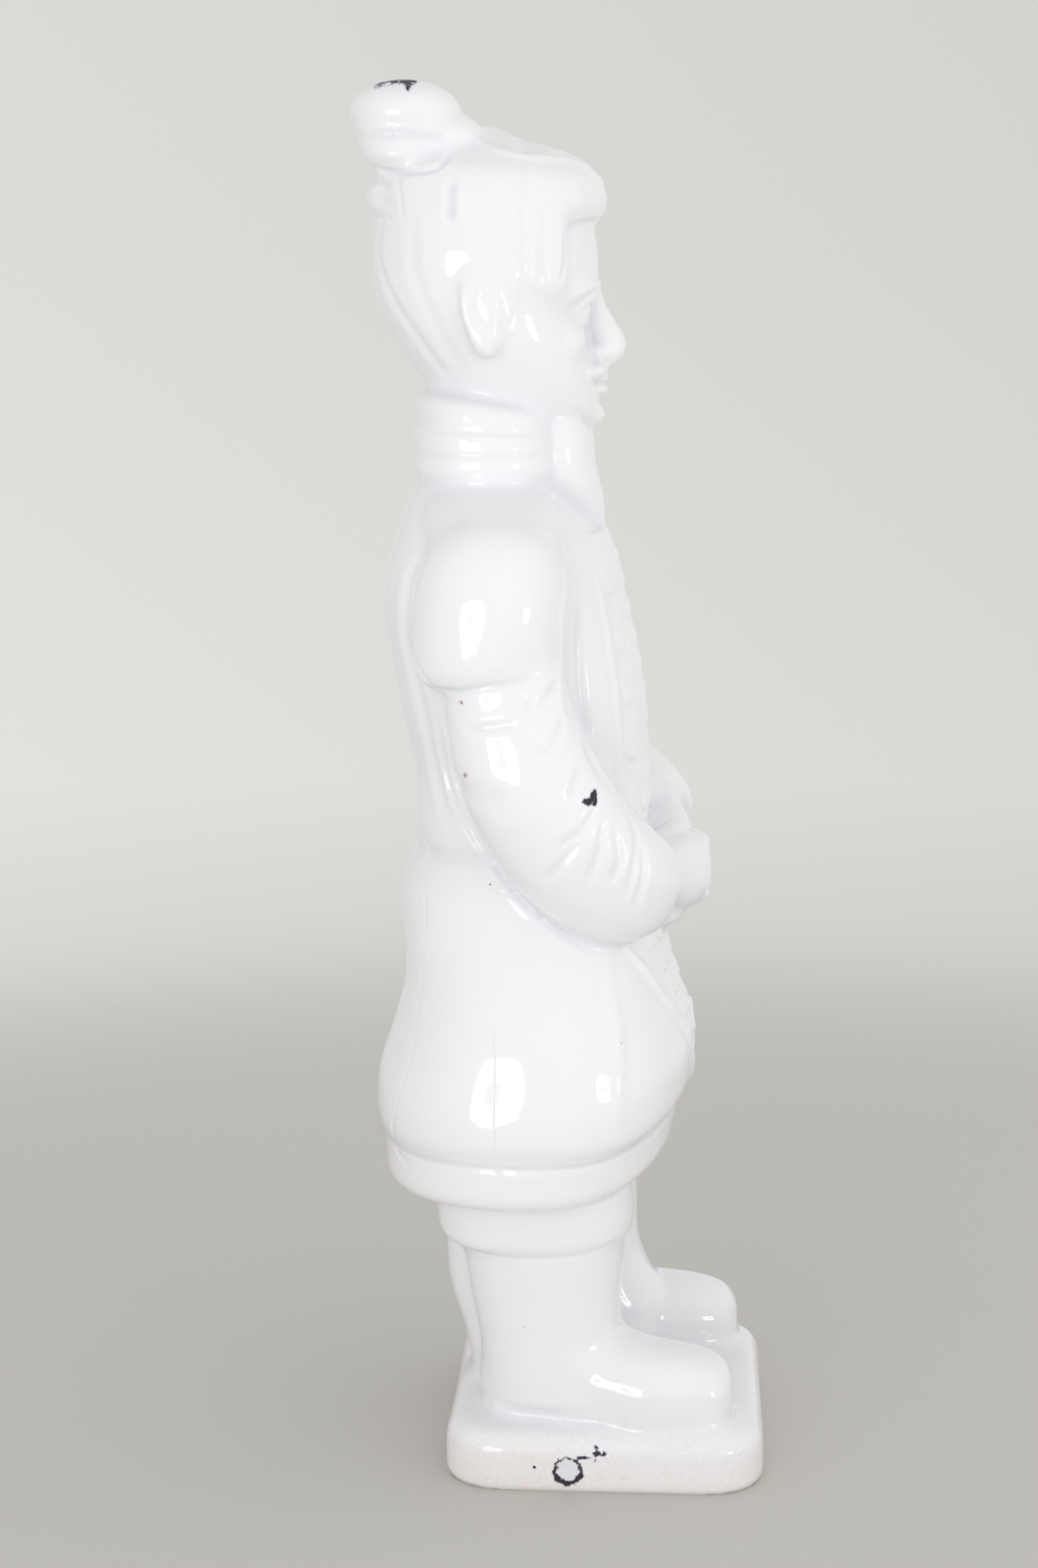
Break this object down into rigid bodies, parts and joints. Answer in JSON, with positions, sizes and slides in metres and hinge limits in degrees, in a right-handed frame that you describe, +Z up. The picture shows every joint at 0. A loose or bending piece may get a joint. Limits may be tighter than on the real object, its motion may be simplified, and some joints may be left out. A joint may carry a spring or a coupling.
{
  "type": "ceramic soldier statue",
  "caption": "White-glazed ceramic statue of a standing armoured soldier with clasped hands and a hair bun, cast in one with its low rounded plinth.",
  "frame": {"origin": "middle of the flat underside of the plinth", "axes": "+Z up through the figure, -Y the way it faces, -X its right-hand side"},
  "size_m": [0.162, 0.1504, 0.4993],
  "materials": {
    "white_glaze": "thick glossy white glaze over fired clay"
  },
  "bodies": {
    "root": {"soldier_statue": "white_glaze"}
  },
  "joints": []
}
